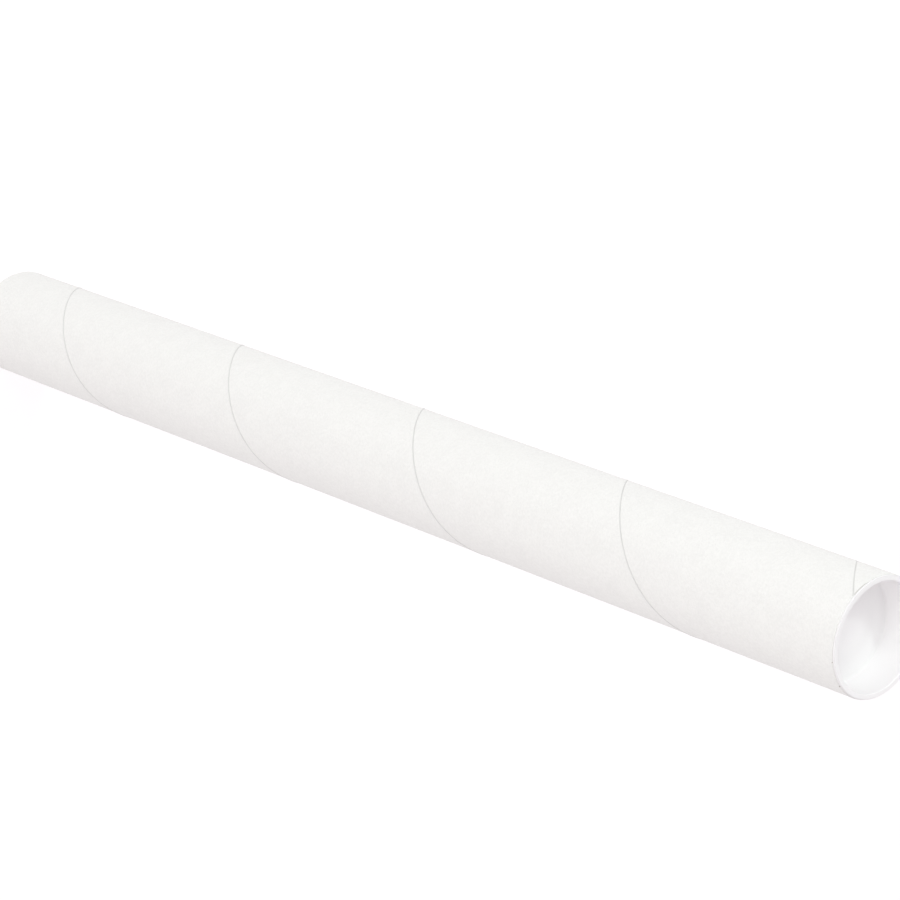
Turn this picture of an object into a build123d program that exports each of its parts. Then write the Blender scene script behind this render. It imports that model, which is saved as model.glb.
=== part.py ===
from build123d import *
import os
from math import atan2, degrees, pi

# A spiral-wound cardboard mailing tube, standing on one end, closed at both ends by plastic plug caps.
# Millimetres. The tube's axis is +Z and passes through the origin, which is on the face it stands on.

# Wound tube
bore_diameter = 50.8
wall_thickness = 1.75
tube_length = 609.6
end_edge_round = 0.25

# Butt seam of the outer ply, a right-handed helix on the outside of the wall
seam_pitch = 137.0
seam_gap = 0.5
seam_depth = 0.3
seam_top_angle = -118.0

# Plug cap: a flange that covers the cut end, and a hollow cup that goes into the bore
flange_setback = 0.35
flange_thickness = 0.9
flange_edge_round = 0.3
lip_round = 0.5
skirt_clearance = 0.15
skirt_draft = 0.35
skirt_lead_round = 0.6
cup_wall = 0.85
cup_depth = 17.4
cup_floor_thickness = 1.0
cup_corner_round = 1.2

# Worked out from the sizes above
bore_radius = bore_diameter / 2
outer_radius = bore_radius + wall_thickness
flange_radius = outer_radius - flange_setback
skirt_radius = bore_radius - skirt_clearance
skirt_end_radius = skirt_radius - skirt_draft
skirt_length = cup_depth - flange_thickness + cup_floor_thickness
tube_bottom = flange_thickness
tube_top = tube_bottom + tube_length


def wound_tube():
    """The board wall, with its helical butt seam cut into the outer ply."""
    wall = Cylinder(outer_radius, tube_length) - Cylinder(bore_radius, tube_length)
    outer_rims = wall.edges().filter_by(GeomType.CIRCLE).sort_by(SortBy.RADIUS)[-2:]
    wall = fillet(outer_rims, end_edge_round)
    return Pos(0, 0, tube_bottom + tube_length / 2) * (wall - seam_groove())


def seam_groove():
    """A strip along the helix that passes both ends, centred on the tube's middle height."""
    rise = tube_length + seam_pitch
    groove_path = Helix(seam_pitch, rise, outer_radius)
    start = groove_path @ 0
    strip_height = seam_depth * 2
    section = Plane(origin=start, x_dir=(1, 0, 0), z_dir=groove_path % 0) * Rectangle(strip_height, seam_gap)
    strip = sweep(section, path=groove_path, is_frenet=True)
    turn_at_top = 360 * (rise + tube_length) / 2 / seam_pitch
    return Rot(0, 0, seam_top_angle - turn_at_top) * Pos(0, 0, -rise / 2) * strip


def plug_cap():
    """One cap, mouth up, with the underside of its flange at height zero."""
    floor_top = flange_thickness - cup_depth
    outline = [
        (0, floor_top),
        (skirt_end_radius - cup_wall, floor_top),
        (skirt_radius - cup_wall, flange_thickness),
        (flange_radius, flange_thickness),
        (flange_radius, 0),
        (skirt_radius, 0),
        (skirt_end_radius, -skirt_length),
        (0, -skirt_length),
    ]
    corner_rounds = [cup_corner_round, lip_round, flange_edge_round, 0, 0, skirt_lead_round]
    profile = FilletPolyline(*outline, radius=corner_rounds) + Line(outline[-1], outline[0])
    return revolve(Plane.XZ * make_face(profile.edges()), Axis.Z)


tube = wound_tube()
cap = plug_cap()
parts = {
    "wound_tube": tube,
    "top_cap": Pos(0, 0, tube_top) * cap,
    "bottom_cap": Pos(0, 0, tube_bottom) * Rot(180, 0, 0) * cap,
}

os.makedirs("parts", exist_ok=True)
for name, solid in parts.items():
    export_step(solid, f"parts/{name}.step")
    print(name, "volume", round(solid.volume, 1), "size", solid.bounding_box().size)
print("helix angle of the seam", round(degrees(atan2(seam_pitch, 2 * pi * outer_radius)), 1))
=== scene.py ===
"""Looks of a spiral-wound mailing tube, in metres and in the frame of the part.

White outer paper with its butt seam, layered board ends and moulded plug caps stand on a pale stage, and the
camera has the photograph's viewing angle."""

from math import ceil, cos, pi, radians, sin, tan

import bmesh
import bpy
from bpy.props import FloatProperty, FloatVectorProperty, IntProperty, PointerProperty
from mathutils import Matrix, Vector


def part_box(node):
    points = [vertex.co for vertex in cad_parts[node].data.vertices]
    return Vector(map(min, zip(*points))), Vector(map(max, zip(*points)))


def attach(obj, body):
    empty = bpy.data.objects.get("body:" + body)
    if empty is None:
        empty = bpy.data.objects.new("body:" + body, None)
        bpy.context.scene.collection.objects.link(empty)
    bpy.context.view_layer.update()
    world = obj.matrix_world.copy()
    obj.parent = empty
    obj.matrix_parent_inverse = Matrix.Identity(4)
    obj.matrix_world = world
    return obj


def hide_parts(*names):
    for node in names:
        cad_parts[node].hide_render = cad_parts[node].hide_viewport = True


bl_info = {
    "name": "Mailing tube looks",
    "version": (1, 0, 0),
    "blender": (4, 5, 0),
    "location": "3D View > Sidebar > Mailing tube",
    "description": "Builds the visible wall, caps and stage of a spiral-wound mailing tube",
    "category": "Object",
}

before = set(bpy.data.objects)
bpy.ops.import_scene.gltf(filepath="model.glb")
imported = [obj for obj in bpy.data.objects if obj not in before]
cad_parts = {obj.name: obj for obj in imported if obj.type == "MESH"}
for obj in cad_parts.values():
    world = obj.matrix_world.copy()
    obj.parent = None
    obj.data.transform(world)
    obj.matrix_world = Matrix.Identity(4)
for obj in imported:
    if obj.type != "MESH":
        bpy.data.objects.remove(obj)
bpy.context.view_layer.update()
TURN = 2 * pi

# Places across the seam, in half gaps from its middle
GAP_FLOOR = 0.7  # Foot of the gap's walls
GAP_TOP = 1.25  # Top of the gap's walls
EDGE_FINISH = (1.26, 1.31)  # Where the gap's finish ends on the proud edge
LIFT_REACH = 9  # Where the proud edge has fallen away to the plain face

# Two small dark spots of board colour at the top rim's outer edge: degrees from +X, and reach in metres
RIM_SPOTS = ((-53.5, 0.0004), (-25.75, 0.00055))
SPOT_CORE = 0.5  # Share of their reach that is fully dark

# Painted shadow in board colour along the top rim's outer edge, beside the seam
CORNER_SHADOW_SPREAD = 24  # How far round it goes, in degrees
CORNER_SHADOW_START = 0.1  # Share of the spread over which it sets in
CORNER_SHADOW_WHOLE = 0.4  # Share of the spread from which it runs out
CORNER_SHADOW_DEPTH = 0.00035  # How deep it is, in metres
CORNER_SHADOW_RAGGED = 0.6  # How ragged its lower edge is, as a share of the depth
CORNER_SHADOW_SOFT = 0.3  # How soft its lower edge is, as a share of the depth
CORNER_SHADOW_LEAST = 0.05  # Least share of the depth that shows
CORNER_SHADOW_SHARE = 0.5  # How strongly the board colour is painted there

# Sizes of the patches in the patterns of the finishes, in metres
FIBRE_SIZE = 0.0007
GRAIN_SIZE = 0.0013
CLOUD_SIZE = 0.008
BOARD_FIBRE_SIZE = 0.0004
LINER_GRAIN_SIZE = 0.0012
LINER_CLOUD_SIZE = 0.01
SKIN_SIZE = 0.0006
PLASTIC_CLOUD_SIZE = 0.012
FLOOR_CLOUD_SIZE = 0.4

# The finish of the paper and of a cut end
FIBRE_STRETCH = 2.5  # How much longer than wide the paper's fibres are
GLUE_LINE = 0.75  # Where a glue line begins, between a ply's middle and its edge
PLY_RAGGED = 0.0001  # How ragged the white ply's inner edge is, in metres
END_EDGE = 0.6  # Where the board begins, as a share of the rim's rounding

# The finish of the plastic, with painted shade on the cup's floor and on the flange's edge
FLOOR_SHADE_SPAN = (0.25, 0.65)  # Where painted shade on the cup's floor sets in, as shares of its radius
FLOOR_SHADE_END = (0.985, 1.005)  # Where the painted shade ends, at the cup's wall
EDGE_SHADE_SPAN = (0.0006, 0.0001)  # Where painted shade on the flange's rounded edge sets in, in metres from its rim

# The mesh of the wound wall
ROW_CROWDING = 3  # How strongly the rows crowd towards the seam
WAVE_SIZE = 0.05  # Length over which the wall swells and sinks, in metres
JOIN_DISTANCE = 2e-6  # Corners this close, in metres, become one

# The mesh of the caps
CAP_COLUMNS = 240  # Columns in one turn
CAP_ROUNDS = (0.0012, 0.0005, 0.0003, 0.0001, 0.0002, 0.0006)  # From the cup's floor to the skirt's end
ARC_STEPS = 8  # Steps in the arc of each rounded corner
ARC_SUPPORT = 0.0001  # How far beside an arc the flat faces are held flat

# The floor and the sky
FLOOR_HALF = 40.0  # Half the floor's side
SKY_SEEN = 1.1  # How bright the camera sees the sky

# The camera's place, the point it looks at, and how far it is rolled
CAMERA_AT = Vector((0.0, -1.19285, 1.53907))
CAMERA_AIM = Vector((-0.0129, 0.0, 0.3378))
CAMERA_ROLL = radians(109.83)

# Tints of the light
SKY_TINT = (1.085, 1.0, 1.05)  # Even light from all round
GLOW_TINT = (1.03, 1.0, 1.015)  # The floor's own light
WARM_TINT = (0.98, 1.0, 0.945)  # The two softboxes at the right
COOL_TINT = (0.9, 1.0, 0.945)  # The other softboxes

# Round softboxes by where they stand, seen from the mouth: degrees round from the camera's side towards +X,
# degrees up, metres away and metres across. Strength is how bright each makes a white face turned to it.
LIGHTS = {
    "left_softbox": {"azimuth": -82, "elevation": 40, "distance": 5.2, "width": 0.76, "strength": 0.166},
    "low_softbox": {"azimuth": -47, "elevation": 27, "distance": 6.0, "width": 0.9, "strength": 0.068},
    "middle_softbox": {"azimuth": -25, "elevation": 25, "distance": 8.0, "width": 3.0, "strength": 0.133},
    "front_softbox": {"azimuth": 5, "elevation": 42, "distance": 8.0, "width": 5.0, "strength": 0.055},
    "right_softbox": {"azimuth": 35, "elevation": 35, "distance": 4.0, "width": 2.5, "strength": 0.085},
    "right_low_softbox": {"azimuth": 50, "elevation": 22, "distance": 4.0, "width": 2.0, "strength": 0.087},
    "overhead_softbox": {"azimuth": -90, "elevation": 75, "distance": 5.0, "width": 4.0, "strength": 0.155},
    "back_softbox": {"azimuth": 168, "elevation": 35, "distance": 5.0, "width": 4.0, "strength": 0.012},
}


def reach(node):
    """Smallest and largest distance of a node's corners from the tube's axis."""
    spans = [corner.co.xy.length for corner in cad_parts[node].data.vertices]
    return min(spans), max(spans)


WALL_LOW, WALL_HIGH = (corner.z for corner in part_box("wound_tube"))
BORE_RADIUS, WALL_RADIUS = reach("wound_tube")
CAP_LOW, CAP_HIGH = (corner.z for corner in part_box("top_cap"))
FLANGE_RADIUS = reach("top_cap")[1]


class Graph:
    """Adds nodes to one node tree, of a material, the world or a geometry group."""

    def __init__(self, tree):
        self.tree = tree

    def node(self, kind, inputs=None, **settings):
        """A new node of that type. Its settings are set first, then each named input's value or link."""
        made = self.tree.nodes.new(kind)
        for name, value in settings.items():
            setattr(made, name, value)
        for name, value in (inputs or {}).items():
            self.feed(made.inputs[name], value)
        return made

    def feed(self, socket, value):
        """Gives one input its value, or links it to the number or socket that it follows."""
        source = value.socket if isinstance(value, Number) else value
        if isinstance(source, bpy.types.NodeSocket):
            self.tree.links.new(source, socket)
        else:
            socket.default_value = source

    def math(self, operation, *values):
        made = self.node("ShaderNodeMath", dict(enumerate(values)), operation=operation)
        return Number(self, made.outputs[0])

    def smooth(self, value, low, high):
        """0 up to low, 1 from high on, and a smooth rise between them."""
        sizes = {"Value": value, "From Min": low, "From Max": high}
        made = self.node("ShaderNodeMapRange", sizes, interpolation_type="SMOOTHSTEP")
        return Number(self, made.outputs["Result"])

    def noise(self, vector, size, detail=2.0, roughness=0.5):
        """Soft random values about 0.5, with patches of about that size in metres."""
        sizes = {"Vector": vector, "Scale": 1 / size, "Detail": detail, "Roughness": roughness}
        return Number(self, self.node("ShaderNodeTexNoise", sizes).outputs[0])

    def parts(self, vector):
        made = self.node("ShaderNodeSeparateXYZ", {"Vector": vector})
        return [Number(self, made.outputs[axis]) for axis in range(3)]

    def vector(self, x, y, z):
        return self.node("ShaderNodeCombineXYZ", {"X": x, "Y": y, "Z": z}).outputs[0]

    def from_axis(self, point):
        """Distance of a point from the tube's axis."""
        x, y, _ = self.parts(point)
        return self.math("SQRT", x * x + y * y)

    def blend(self, share, low, high):
        """The colour that is low at share 0 and high at share 1."""
        return self.node("ShaderNodeMix", {0: share, 6: low, 7: high}, data_type="RGBA").outputs[2]

    def shade(self, share, colour, factor):
        """The colour, darker by the factor at share 0 and plain at share 1."""
        return self.blend(share, opaque(darker(colour, factor)), opaque(colour))


class Number:
    """One number socket of a graph. Sums written with it add Math nodes."""

    def __init__(self, graph, socket):
        self.graph = graph
        self.socket = socket

    def __add__(self, other):
        return self.graph.math("ADD", self, other)

    def __radd__(self, other):
        return self.graph.math("ADD", other, self)

    def __sub__(self, other):
        return self.graph.math("SUBTRACT", self, other)

    def __rsub__(self, other):
        return self.graph.math("SUBTRACT", other, self)

    def __mul__(self, other):
        return self.graph.math("MULTIPLY", self, other)

    def __rmul__(self, other):
        return self.graph.math("MULTIPLY", other, self)

    def __truediv__(self, other):
        return self.graph.math("DIVIDE", self, other)

    def __rtruediv__(self, other):
        return self.graph.math("DIVIDE", other, self)

    def __pow__(self, other):
        return self.graph.math("POWER", self, other)

    def __abs__(self):
        return self.graph.math("ABSOLUTE", self)


def length_property(name, description, default):
    return FloatProperty(
        name=name, description=description, default=default, min=0, subtype="DISTANCE", unit="LENGTH"
    )


def colour_property(name, description, default):
    return FloatVectorProperty(
        name=name, description=description, default=default, min=0, max=1, subtype="COLOR"
    )


def share_property(name, description, default):
    return FloatProperty(
        name=name, description=description, default=default, min=0, max=1, subtype="FACTOR"
    )


def light_property(name, description, default):
    return FloatProperty(name=name, description=description, default=default, min=0)


def count_property(name, description, default, least):
    return IntProperty(name=name, description=description, default=default, min=least)


class WallSettings(bpy.types.PropertyGroup):
    """Sizes and colours of the wound wall."""

    seam_pitch: length_property("Seam pitch", "Rise of the outer ply's seam in one turn", 0.137)
    seam_angle: FloatProperty(
        name="Seam angle",
        description="Where the seam meets the top rim",
        default=radians(-118),
        subtype="ANGLE",
    )
    seam_gap: length_property("Seam gap", "Width of the butt joint between the ply's edges", 0.0005)
    seam_depth: length_property("Seam depth", "Depth of the butt joint", 0.0001)
    ply_thickness: length_property("Ply thickness", "Thickness of the white outer ply", 0.00045)
    edge_lift: length_property("Edge lift", "How far the ply's edge below the seam stands proud", 0.00016)
    rim_round: length_property("Rim round", "Radius of the cut ends' edges", 0.00035)
    rim_band: length_property("Rim band", "Height of the finely divided band at each cut end", 0.0006)
    ply_relief: length_property("Ply relief", "How deep the joints between plies lie in a cut end", 0.00004)
    waviness: length_property("Waviness", "How uneven the wound wall is", 0.00015)
    plies: count_property("Plies", "Plies of board in the wall", 5, 1)
    steps: count_property("Steps", "Columns in one turn of the wall", 240, 24)
    rows: count_property("Rows", "Rows across the outer ply", 32, 8)
    end_rows: count_property("End rows", "Rows over each cut end", 33, 9)
    bore_rows: count_property("Bore rows", "Rows down the bore", 12, 2)
    paper_colour: colour_property("Paper", "White paper of the outer ply", (0.885, 0.885, 0.866))
    gap_colour: colour_property("Seam gap", "Ply that shows in the seam's gap", (0.745, 0.745, 0.73))
    core_colour: colour_property("Core", "Grey board that shows at the cut ends", (0.50, 0.475, 0.44))
    liner_colour: colour_property("Liner", "Inside of the bore", (0.80, 0.785, 0.76))


class CapSettings(bpy.types.PropertyGroup):
    """Sizes and colour of the plug caps."""

    skirt_clearance: length_property("Skirt clearance", "Gap between the skirt's top and the bore", 0.00015)
    skirt_draft: length_property("Skirt draft", "How much smaller the skirt is at its end", 0.00035)
    cup_wall: length_property("Cup wall", "Thickness of the cup's wall", 0.00085)
    cup_depth: length_property("Cup depth", "From the flange's face to the cup's floor", 0.0174)
    # Painted shade: how bright the cup's floor is left near its wall
    floor_shade: share_property("Floor shade", "Brightness of the cup's thin floor near its edge", 0.925)
    # Painted shade on the flange's rounded edge, which dims its highlight
    edge_shade: share_property("Edge shade", "Brightness of the flange's shaded edge", 0.91)
    plastic_colour: colour_property("Plastic", "Cool white moulded plastic", (0.98, 0.968, 0.975))


class StageSettings(bpy.types.PropertyGroup):
    """The floor, the light and the camera."""

    floor_colour: colour_property("Floor", "Plain pale floor", (0.3, 0.3, 0.3))
    floor_glow: light_property("Floor glow", "Light that the floor gives of itself", 0.77)
    sky_light: light_property("Sky light", "Even light from all round", 0.503)
    lens: FloatProperty(
        name="Lens",
        description="Focal length on a 36 mm sensor",
        default=145.23,
        min=1,
        subtype="DISTANCE_CAMERA",
        unit="CAMERA",
    )


def settings_of(name):
    return getattr(bpy.context.scene, name)


def new_material(name):
    """An empty node material: its graph and its Principled shader."""
    made = bpy.data.materials.new(name)
    made.use_nodes = True
    made.node_tree.nodes.clear()
    graph = Graph(made.node_tree)
    shader = graph.node("ShaderNodeBsdfPrincipled")
    graph.node("ShaderNodeOutputMaterial", {"Surface": shader.outputs[0]})
    return made, graph, shader


def opaque(colour):
    return (*colour, 1.0)


def darker(colour, factor):
    return tuple(part * factor for part in colour)


def object_point(graph):
    return graph.node("ShaderNodeTexCoord").outputs["Object"]


def attribute(graph, name):
    return graph.node("ShaderNodeAttribute", attribute_name=name)


def emboss(graph, shader, relief, strength, depth):
    """Bumps the shader's surface by a relief from 0 to 1, so deep in metres."""
    bump = graph.node("ShaderNodeBump", {"Height": relief, "Strength": strength, "Distance": depth})
    graph.feed(shader.inputs["Normal"], bump.outputs[0])


def dark_rim_marks(graph, point, fibres):
    """1 where board colour is painted at the top rim, and 0 elsewhere: two small dark spots, and a painted
    shadow beside the seam.
    """
    x, y, height = graph.parts(point)
    past = settings_of("tube_wall").seam_angle - graph.math("ARCTAN2", y, x)
    spread = radians(CORNER_SHADOW_SPREAD)
    sets_in = graph.smooth(past, 0, spread * CORNER_SHADOW_START)
    shadow_reach = sets_in * (1 - graph.smooth(past, spread * CORNER_SHADOW_WHOLE, spread))
    below = (WALL_HIGH - height) / CORNER_SHADOW_DEPTH + (fibres - 0.5) * CORNER_SHADOW_RAGGED
    shown = 1 - graph.smooth(below, shadow_reach - CORNER_SHADOW_SOFT, shadow_reach)
    shown = shown * graph.math("GREATER_THAN", shadow_reach, CORNER_SHADOW_LEAST) * CORNER_SHADOW_SHARE
    for angle, size in RIM_SPOTS:
        spot = (WALL_RADIUS * cos(radians(angle)), WALL_RADIUS * sin(radians(angle)), WALL_HIGH)
        between = graph.node("ShaderNodeVectorMath", {0: point, 1: spot}, operation="DISTANCE")
        shown = shown + (1 - graph.smooth(between.outputs["Value"], size * SPOT_CORE, size))
    return shown


def paper_material():
    """White outer paper: fibres along the ply, fine grain, larger clouds, and grey ply in the seam's gap."""
    wall = settings_of("tube_wall")
    made, graph, shader = new_material("white_outer_paper")
    point = object_point(graph)
    along, across, _ = graph.parts(attribute(graph, "ply").outputs["Vector"])
    strip = graph.vector(along * (1 / FIBRE_STRETCH), across, 0)
    fibres = graph.noise(strip, FIBRE_SIZE, detail=3.0, roughness=0.6)
    grains = graph.noise(point, GRAIN_SIZE, detail=3.0, roughness=0.6)
    clouds = graph.noise(point, CLOUD_SIZE, detail=3.0, roughness=0.55)
    share = graph.smooth(fibres * 0.35 + grains * 0.45 + clouds * 0.2, 0.38, 0.62)
    paper = graph.shade(share, wall.paper_colour, factor=0.95)
    in_gap = Number(graph, attribute(graph, "in_gap").outputs["Fac"])
    whole = graph.blend(in_gap, paper, opaque(wall.gap_colour))
    # The top rim's dark spots and painted shadow, in board colour
    colour = graph.blend(dark_rim_marks(graph, point, fibres), whole, opaque(wall.core_colour))
    graph.feed(shader.inputs["Base Color"], colour)
    graph.feed(shader.inputs["Roughness"], 0.62 + grains * 0.15)
    emboss(graph, shader, fibres * 0.4 + grains * 0.6, strength=1.0, depth=0.00035)
    shader.inputs["Specular IOR Level"].default_value = 0.3
    return made


def core_material():
    """The cut ends: the white outer ply's edge, then grey board with darker glue lines and torn fibres."""
    wall = settings_of("tube_wall")
    made, graph, shader = new_material("grey_board_core")
    point = object_point(graph)
    radius = graph.from_axis(point)
    ply = (radius - BORE_RADIUS) / (WALL_RADIUS - BORE_RADIUS) * wall.plies
    glue = graph.smooth(abs(graph.math("FRACT", ply) - 0.5) * 2, GLUE_LINE, 1.0)
    fibres = graph.noise(point, BOARD_FIBRE_SIZE, detail=4.0, roughness=0.65)
    board = graph.shade(fibres, wall.core_colour, factor=0.8)
    layered = graph.blend(glue * 0.5, board, opaque(darker(wall.core_colour, 0.6)))
    white_edge = graph.shade(fibres, wall.paper_colour, factor=0.93)
    inner = WALL_RADIUS - wall.ply_thickness
    in_white = graph.smooth(radius + fibres * PLY_RAGGED, inner, inner + PLY_RAGGED)
    edge = graph.blend(in_white, layered, white_edge)
    # The top rim's dark spots and painted shadow, in board colour
    graph.feed(shader.inputs["Base Color"], graph.blend(dark_rim_marks(graph, point, fibres), edge, layered))
    shader.inputs["Roughness"].default_value = 0.85
    emboss(graph, shader, fibres, strength=0.6, depth=0.0001)
    return made


def liner_material():
    """Inside of the bore: plain liner paper."""
    wall = settings_of("tube_wall")
    made, graph, shader = new_material("bore_liner_paper")
    point = object_point(graph)
    grains = graph.noise(point, LINER_GRAIN_SIZE, detail=4.0, roughness=0.6)
    clouds = graph.noise(point, LINER_CLOUD_SIZE)
    share = grains * 0.6 + clouds * 0.4
    graph.feed(shader.inputs["Base Color"], graph.shade(share, wall.liner_colour, factor=0.9))
    shader.inputs["Roughness"].default_value = 0.75
    emboss(graph, shader, grains, strength=0.4, depth=0.0001)
    return made


def plastic_material():
    """Cool white moulded plastic with a soft satin sheen, and painted shade on the cup's floor towards its
    wall and on the flange's rounded edge.
    """
    made, graph, shader = new_material("white_moulded_plastic")
    cap = settings_of("tube_caps")
    colour = cap.plastic_colour
    point = object_point(graph)
    radius = graph.from_axis(point)
    clouds = graph.noise(point, PLASTIC_CLOUD_SIZE)
    skin = graph.noise(point, SKIN_SIZE)
    plain = graph.shade(clouds, colour, factor=0.985)
    cup_radius = BORE_RADIUS - cap.skirt_clearance - cap.skirt_draft - cap.cup_wall
    # Painted shade: the cup's floor darkens from part way out to its wall
    from_middle = graph.smooth(radius, cup_radius * FLOOR_SHADE_SPAN[0], cup_radius * FLOOR_SHADE_SPAN[1])
    past_floor = graph.smooth(radius, cup_radius * FLOOR_SHADE_END[0], cup_radius * FLOOR_SHADE_END[1])
    floor_shaded = graph.blend(from_middle * (1 - past_floor), plain, opaque(darker(colour, cap.floor_shade)))
    # Painted shade: the flange's rounded edge is darker, which dims its highlight
    edge = graph.smooth(radius, FLANGE_RADIUS - EDGE_SHADE_SPAN[0], FLANGE_RADIUS - EDGE_SHADE_SPAN[1])
    whole = graph.blend(edge, floor_shaded, opaque(darker(colour, cap.edge_shade)))
    graph.feed(shader.inputs["Base Color"], whole)
    graph.feed(shader.inputs["Roughness"], 0.34 + clouds * 0.1)
    emboss(graph, shader, skin + clouds, strength=0.15, depth=0.00005)
    shader.inputs["Specular IOR Level"].default_value = 0.4
    return made


SOCKET_KINDS = {
    float: "NodeSocketFloat",
    int: "NodeSocketInt",
    bpy.types.Material: "NodeSocketMaterial",
}


def geometry_group(name, values):
    """An empty geometry group with a named input for each value: its graph, and its inputs by name."""
    tree = bpy.data.node_groups.new(name, "GeometryNodeTree")
    tree.interface.new_socket("Geometry", in_out="OUTPUT", socket_type="NodeSocketGeometry")
    for label, value in values.items():
        tree.interface.new_socket(label, in_out="INPUT", socket_type=SOCKET_KINDS[type(value)])
    graph = Graph(tree)
    source = graph.node("NodeGroupInput")
    return graph, {label: Number(graph, source.outputs[label]) for label in values}


def grown(name, tree, values):
    """Runs a geometry group on a new object and keeps the result as its plain mesh."""
    piece = bpy.data.objects.new(name, bpy.data.meshes.new(name))
    bpy.context.scene.collection.objects.link(piece)
    modifier = piece.modifiers.new(name, "NODES")
    modifier.node_group = tree
    for socket in tree.interface.items_tree:
        if socket.in_out == "INPUT":
            modifier[socket.identifier] = values[socket.name]
    ready = piece.evaluated_get(bpy.context.evaluated_depsgraph_get())
    mesh = bpy.data.meshes.new_from_object(ready)
    piece.modifiers.remove(modifier)
    piece.data = mesh
    mesh.name = name
    return piece


def clamp(graph, value, low, high):
    return graph.math("MINIMUM", graph.math("MAXIMUM", value, low), high)


def seam_relief(graph, size, angle, height):
    """1 in the seam's gap and 0 beside it, and how deep the outer face is sunk there.

    The edge below the gap stands proud, and its cut side has the gap's finish."""
    pitch = size["Seam Pitch"]
    lead = TURN * size["Outer Radius"]
    step = pitch * lead / graph.math("SQRT", lead * lead + pitch * pitch)
    turns = (height - size["High"]) / pitch - (angle - size["Seam Angle"]) / TURN
    share = graph.math("FRACT", turns)
    is_below = graph.math("GREATER_THAN", share, 0.5)
    distance = graph.math("MINIMUM", share, 1 - share) * step
    half_gap = size["Seam Gap"] / 2
    beside = graph.smooth(distance, half_gap * GAP_FLOOR, half_gap * GAP_TOP)
    past_side = graph.smooth(distance, half_gap * EDGE_FINISH[0], half_gap * EDGE_FINISH[1])
    in_gap = 1 - beside - is_below * (past_side - beside)
    proud = is_below * (beside - graph.smooth(distance, half_gap * GAP_TOP, half_gap * LIFT_REACH))
    return in_gap, size["Seam Depth"] * (1 - beside) - size["Edge Lift"] * proud


def grid_sheet(graph, size, columns, rows, place):
    """A grid whose corners go where place(x, y) says, with x and y from -0.5 to 0.5.

    It keeps two attributes for the paper: how far each corner is in the seam's gap, and where it is on the
    ply, as distances along and across the strip of paper."""
    sizes = {"Size X": 1, "Size Y": 1, "Vertices X": columns, "Vertices Y": rows}
    grid = graph.node("GeometryNodeMeshGrid", sizes).outputs[0]
    x, y, _ = graph.parts(graph.node("GeometryNodeInputPosition").outputs[0])
    radius, angle, height, in_gap = place(x, y)
    lean = graph.math("ARCTAN2", size["Seam Pitch"], TURN * size["Outer Radius"])
    lean_sine = graph.math("SINE", lean)
    lean_cosine = graph.math("COSINE", lean)
    round_way = angle * size["Outer Radius"]
    along = round_way * lean_cosine + height * lean_sine
    across = height * lean_cosine - round_way * lean_sine
    on_ply = graph.vector(along, across, 0)
    for name, kind, value in (("in_gap", "FLOAT", in_gap), ("ply", "FLOAT_VECTOR", on_ply)):
        kept = {"Geometry": grid, "Name": name, "Value": value}
        grid = graph.node("GeometryNodeStoreNamedAttribute", kept, data_type=kind).outputs[0]
    spot = graph.vector(radius * graph.math("COSINE", angle), radius * graph.math("SINE", angle), height)
    return graph.node("GeometryNodeSetPosition", {"Geometry": grid, "Position": spot}).outputs[0]


def outer_ply(graph, size):
    """The outer face as one helical strip, with rows at both walls of the gap and crowded beside it."""

    def place(x, y):
        # The first row past the seam's middle is at the foot of the gap's wall, and the next one at its top
        turns = (x - 0.5) * (size["Columns"] - 1) / size["Steps"]
        pitch = size["Seam Pitch"]
        lead = TURN * size["Outer Radius"]
        gap_share = size["Seam Gap"] / 2 * graph.math("SQRT", 1 / (pitch * pitch) + 1 / (lead * lead))
        middle_row = (size["Rows"] - 1) / 2
        row = (1 - abs(y) * 2) * middle_row
        floor_row = clamp(graph, row, 0, 1) * GAP_FLOOR
        wall_rows = floor_row + clamp(graph, row - 1, 0, 1) * (GAP_TOP - GAP_FLOOR)
        open_rows = (clamp(graph, row - 2, 0, middle_row) / (middle_row - 2)) ** ROW_CROWDING
        from_edge = wall_rows * gap_share + open_rows * (0.5 - gap_share * GAP_TOP)
        share = 0.5 + graph.math("SIGN", y) * (0.5 - from_edge)
        angle = size["Seam Angle"] + turns * TURN
        height = size["High"] + (turns + share) * pitch
        height = clamp(graph, height, size["Low"] + size["Rim Band"], size["High"] - size["Rim Band"])
        in_gap, depth = seam_relief(graph, size, angle, height)
        return size["Outer Radius"] - depth, angle, height, in_gap

    return grid_sheet(graph, size, size["Columns"], size["Rows"], place)


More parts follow.
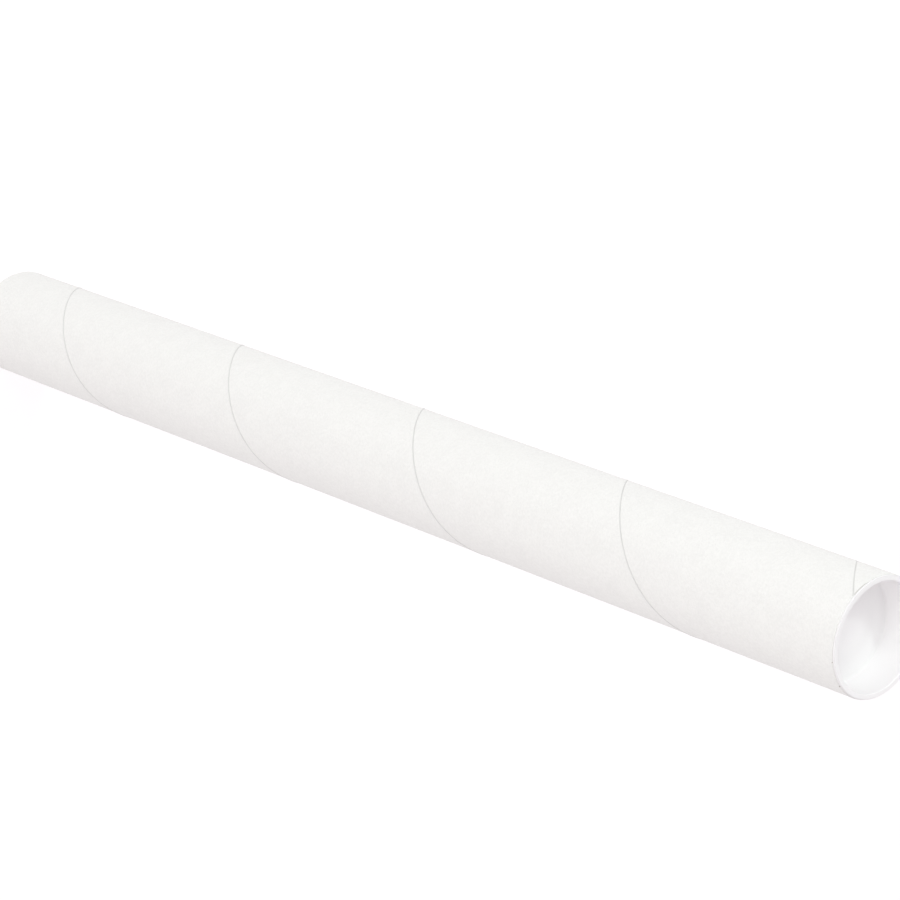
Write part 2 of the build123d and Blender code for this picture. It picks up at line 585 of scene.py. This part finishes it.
def cut_end(graph, size, is_top):
    """One cut end of the wall: a thin band outside, the rounded cut face with its plies, and one inside."""
    half_wall = (size["Outer Radius"] - size["Bore Radius"]) / 2
    middle = size["Bore Radius"] + half_wall
    flat = half_wall - size["Rim Round"]
    bend_length = size["Rim Round"] * (pi / 2)
    path = flat + bend_length + size["Rim Band"] - size["Rim Round"]
    last_turn = 0 if is_top else 1 - (size["Columns"] - 1) / size["Steps"]

    def place(x, y):
        angle = size["Seam Angle"] + (x - 0.5 + last_turn) * TURN
        gone = abs(y) * 2 * path
        bend = clamp(graph, (gone - flat) / size["Rim Round"], 0, pi / 2)
        out = graph.math("MINIMUM", gone, flat) + size["Rim Round"] * graph.math("SINE", bend)
        down = graph.math("MAXIMUM", gone - flat - bend_length, 0)
        drop = size["Rim Round"] * (1 - graph.math("COSINE", bend)) + down
        side = graph.math("SIGN", y)
        ply = (side * out + half_wall) / (half_wall * 2) * size["Plies"]
        joint = abs(graph.math("FRACT", ply) - 0.5) * 2
        drop = drop + size["Ply Relief"] * (joint**3) * graph.math("COSINE", bend)
        height = size["High"] - drop if is_top else size["Low"] + drop
        in_gap, depth = seam_relief(graph, size, angle, height)
        outside = graph.math("GREATER_THAN", y, 0)
        return middle + side * out - outside * depth * out / half_wall, angle, height, in_gap * outside

    return grid_sheet(graph, size, size["Steps"] + 1, size["End Rows"], place)


def bore_face(graph, size):
    """The inside of the wall, between the bands of the two cut ends."""

    def place(x, y):
        middle = (size["Low"] + size["High"]) / 2
        height = middle + y * (size["High"] - size["Low"] - size["Rim Band"] * 2)
        return size["Bore Radius"], size["Seam Angle"] + (x - 0.5) * TURN, height, 0.0

    return grid_sheet(graph, size, size["Steps"] + 1, size["Bore Rows"], place)


def wall_group(values):
    """The wound wall: helical outer face, two cut ends and the bore, joined into one closed skin."""
    graph, size = geometry_group("wound_wall", values)
    top = graph.node("GeometryNodeFlipFaces", {"Mesh": cut_end(graph, size, True)})
    bore = graph.node("GeometryNodeFlipFaces", {"Mesh": bore_face(graph, size)})
    joined = graph.node("GeometryNodeJoinGeometry")
    for face in (outer_ply(graph, size), top.outputs[0], cut_end(graph, size, False), bore.outputs[0]):
        graph.feed(joined.inputs[0], face)
    close = {"Geometry": joined.outputs[0], "Distance": JOIN_DISTANCE}
    skin = graph.node("GeometryNodeMergeByDistance", close)
    point = graph.node("GeometryNodeInputPosition").outputs[0]
    x, y, _ = graph.parts(point)
    radius = graph.math("SQRT", x * x + y * y)
    swell = (graph.noise(point, WAVE_SIZE, detail=1.0) - 0.5) * size["Waviness"] / radius
    uneven = {"Geometry": skin.outputs[0], "Offset": graph.vector(x * swell, y * swell, 0)}
    moved = graph.node("GeometryNodeSetPosition", uneven)
    soft = graph.node("GeometryNodeSetShadeSmooth", {"Geometry": moved.outputs[0]})
    real = graph.node("GeometryNodeRealizeInstances", {"Geometry": soft.outputs[0]})
    face_edge = size["Rim Round"] * END_EDGE
    inside = graph.math("LESS_THAN", radius, size["Outer Radius"] - face_edge)
    on_end = graph.math("GREATER_THAN", radius, size["Bore Radius"] + face_edge) * inside
    skin = real.outputs[0]
    for where, material in ((1, "Paper"), (inside, "Liner"), (on_end, "Core")):
        finish = {"Geometry": skin, "Selection": where, "Material": size[material]}
        skin = graph.node("GeometryNodeSetMaterial", finish).outputs[0]
    graph.node("NodeGroupOutput", {"Geometry": skin})
    return graph.tree


def rounded_outline(corners, rounds, steps, support):
    """Points of an open outline whose inner corners are arcs of the given radii.

    A support point on each straight run, close beside the arc, keeps flat faces flat in smooth shading."""
    points = [Vector(corners[0])]
    for before, corner, after, radius in zip(corners, corners[1:], corners[2:], rounds):
        corner = Vector(corner)
        back = (Vector(before) - corner).normalized()
        ahead = (Vector(after) - corner).normalized()
        half = back.angle(ahead) / 2
        run = radius / tan(half)
        centre = corner + (back + ahead).normalized() * (radius / sin(half))
        spoke = corner + back * run - centre
        sweep = (pi - 2 * half) * (-1 if back.cross(ahead) > 0 else 1)
        points.append(corner + back * (run + support))
        points += [centre + Matrix.Rotation(sweep * step / steps, 2) @ spoke for step in range(steps + 1)]
        points.append(corner + ahead * (run + support))
    points.append(Vector(corners[-1]))
    return points


def turned(name, outline, columns, place):
    """A closed solid turned about the tube's axis. The outline starts and ends on the axis."""
    made = bmesh.new()
    rings = []
    for radius, height in outline:
        if radius == 0:
            rings.append([made.verts.new(place @ Vector((0, 0, height)))])
            continue
        ring = []
        for column in range(columns):
            angle = TURN * column / columns
            spot = Vector((radius * cos(angle), radius * sin(angle), height))
            ring.append(made.verts.new(place @ spot))
        rings.append(ring)
    for low, high in zip(rings, rings[1:]):
        for column in range(columns):
            after = (column + 1) % columns
            low_side = [low[column % len(low)], low[after % len(low)]]
            high_side = [high[after % len(high)], high[column % len(high)]]
            made.faces.new(list(dict.fromkeys(low_side + high_side)))
    bmesh.ops.recalc_face_normals(made, faces=made.faces)
    for face in made.faces:
        face.smooth = True
    mesh = bpy.data.meshes.new(name)
    made.to_mesh(mesh)
    made.free()
    piece = bpy.data.objects.new(name, mesh)
    bpy.context.scene.collection.objects.link(piece)
    return piece


class WoundTubeOperator(bpy.types.Operator):
    """Builds the wound wall, with its helical seam and cut ends"""

    bl_idname = "mailing_tube.wound_tube"
    bl_label = "Build the wound tube"

    def execute(self, context):
        wall = settings_of("tube_wall")
        turns = (WALL_HIGH - WALL_LOW) / wall.seam_pitch + 1
        values = {
            "Outer Radius": WALL_RADIUS,
            "Bore Radius": BORE_RADIUS,
            "Low": WALL_LOW,
            "High": WALL_HIGH,
            "Seam Pitch": wall.seam_pitch,
            "Seam Angle": wall.seam_angle,
            "Seam Gap": wall.seam_gap,
            "Seam Depth": wall.seam_depth,
            "Edge Lift": wall.edge_lift,
            "Rim Round": wall.rim_round,
            "Rim Band": wall.rim_band,
            "Ply Relief": wall.ply_relief,
            "Waviness": wall.waviness,
            "Plies": wall.plies,
            "Steps": wall.steps,
            "Columns": ceil(wall.steps * turns) + 1,
            "Rows": wall.rows,
            "End Rows": wall.end_rows,
            "Bore Rows": wall.bore_rows,
            "Paper": paper_material(),
            "Core": core_material(),
            "Liner": liner_material(),
        }
        piece = grown("wound_wall", wall_group(values), values)
        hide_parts("wound_tube")
        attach(piece, "tube")
        return {"FINISHED"}


class PlugCapsOperator(bpy.types.Operator):
    """Builds the two plug caps"""

    bl_idname = "mailing_tube.plug_caps"
    bl_label = "Build the plug caps"

    def execute(self, context):
        cap = settings_of("tube_caps")
        flange = CAP_HIGH - WALL_HIGH
        skirt_radius = BORE_RADIUS - cap.skirt_clearance
        skirt_end = skirt_radius - cap.skirt_draft
        skirt_low = CAP_LOW - WALL_HIGH
        corners = [
            (0, flange - cap.cup_depth),
            (skirt_end - cap.cup_wall, flange - cap.cup_depth),
            (skirt_radius - cap.cup_wall, flange),
            (FLANGE_RADIUS, flange),
            (FLANGE_RADIUS, 0),
            (skirt_radius, 0),
            (skirt_end, skirt_low),
            (0, skirt_low),
        ]
        outline = rounded_outline(corners, CAP_ROUNDS, ARC_STEPS, ARC_SUPPORT)
        plastic = plastic_material()
        top = Matrix.Translation((0, 0, WALL_HIGH))
        bottom = Matrix.Translation((0, 0, WALL_LOW)) @ Matrix.Rotation(pi, 4, "X")
        for name, place in (("top_cap", top), ("bottom_cap", bottom)):
            piece = turned("plug_" + name, outline, CAP_COLUMNS, place)
            piece.data.materials.append(plastic)
            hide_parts(name)
            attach(piece, name)
        return {"FINISHED"}


class StageOperator(bpy.types.Operator):
    """Builds the floor, the light and the camera"""

    bl_idname = "mailing_tube.stage"
    bl_label = "Build the stage"

    def execute(self, context):
        stage = settings_of("tube_stage")
        self.floor(stage)
        self.sky(stage)
        self.softboxes()
        self.camera(stage)
        context.scene.view_settings.view_transform = "Standard"
        return {"FINISHED"}

    def floor(self, stage):
        mesh = bpy.data.meshes.new("pale_floor")
        corners = [(x * FLOOR_HALF, y * FLOOR_HALF, 0) for x, y in ((-1, -1), (1, -1), (1, 1), (-1, 1))]
        mesh.from_pydata(corners, [], [(0, 1, 2, 3)])
        piece = bpy.data.objects.new("pale_floor", mesh)
        bpy.context.scene.collection.objects.link(piece)
        made, graph, shader = new_material("pale_floor")
        tone = graph.noise(object_point(graph), FLOOR_CLOUD_SIZE)
        graph.feed(shader.inputs["Base Color"], graph.shade(tone, stage.floor_colour, factor=0.995))
        shader.inputs["Roughness"].default_value = 0.9
        shader.inputs["Specular IOR Level"].default_value = 0.0
        shader.inputs["Emission Color"].default_value = opaque(GLOW_TINT)
        shader.inputs["Emission Strength"].default_value = stage.floor_glow
        mesh.materials.append(made)

    def sky(self, stage):
        """Even light from all round, which the camera sees as plain white."""
        world = bpy.data.worlds.new("studio")
        world.use_nodes = True
        world.node_tree.nodes.clear()
        graph = Graph(world.node_tree)
        lit = graph.node("ShaderNodeBackground", {"Color": opaque(SKY_TINT), "Strength": stage.sky_light})
        seen = graph.node("ShaderNodeBackground", {"Color": (1, 1, 1, 1), "Strength": SKY_SEEN})
        ray = graph.node("ShaderNodeLightPath")
        both = {0: ray.outputs["Is Camera Ray"], 1: lit.outputs[0], 2: seen.outputs[0]}
        mixed = graph.node("ShaderNodeMixShader", both)
        graph.node("ShaderNodeOutputWorld", {"Surface": mixed.outputs[0]})
        bpy.context.scene.world = world

    def softboxes(self):
        mouth = Vector((0, 0, CAP_HIGH))
        for name, box in LIGHTS.items():
            azimuth = radians(box["azimuth"])
            elevation = radians(box["elevation"])
            level = cos(elevation)
            towards = Vector((sin(azimuth) * level, -cos(azimuth) * level, sin(elevation)))
            light = bpy.data.lights.new(name, "AREA")
            light.shape = "DISK"
            light.size = box["width"]
            light.energy = box["strength"] * (pi * box["distance"]) ** 2
            light.color = WARM_TINT if name.startswith("right") else COOL_TINT
            lamp = bpy.data.objects.new(name, light)
            place = Matrix.Translation(mouth + towards * box["distance"])
            lamp.matrix_world = place @ towards.to_track_quat("Z", "Y").to_matrix().to_4x4()
            bpy.context.scene.collection.objects.link(lamp)

    def camera(self, stage):
        data = bpy.data.cameras.new("photo_camera")
        data.sensor_width = 36
        data.lens = stage.lens
        camera = bpy.data.objects.new("photo_camera", data)
        level = (CAMERA_AIM - CAMERA_AT).to_track_quat("-Z", "Y").to_matrix().to_4x4()
        camera.matrix_world = Matrix.Translation(CAMERA_AT) @ level @ Matrix.Rotation(CAMERA_ROLL, 4, "Z")
        bpy.context.scene.collection.objects.link(camera)
        bpy.context.scene.camera = camera


class TubePanel(bpy.types.Panel):
    """Sizes, colours and build buttons in the 3D view's sidebar"""

    bl_idname = "MAILING_TUBE_PT_looks"
    bl_label = "Mailing tube"
    bl_space_type = "VIEW_3D"
    bl_region_type = "UI"
    bl_category = "Mailing tube"

    def draw(self, context):
        for operator in OPERATORS:
            self.layout.operator(operator.bl_idname)
        for name, group in SETTINGS.items():
            box = self.layout.box()
            for field in group.__annotations__:
                box.prop(settings_of(name), field)


SETTINGS = {"tube_wall": WallSettings, "tube_caps": CapSettings, "tube_stage": StageSettings}
OPERATORS = (WoundTubeOperator, PlugCapsOperator, StageOperator)


def register():
    for group in (*SETTINGS.values(), *OPERATORS, TubePanel):
        bpy.utils.register_class(group)
    for name, group in SETTINGS.items():
        setattr(bpy.types.Scene, name, PointerProperty(type=group))


def unregister():
    for name in SETTINGS:
        delattr(bpy.types.Scene, name)
    for group in (TubePanel, *OPERATORS, *SETTINGS.values()):
        bpy.utils.unregister_class(group)


def main():
    register()
    bpy.ops.mailing_tube.stage()
    bpy.ops.mailing_tube.wound_tube()
    bpy.ops.mailing_tube.plug_caps()


if __name__ == "__main__":
    main()
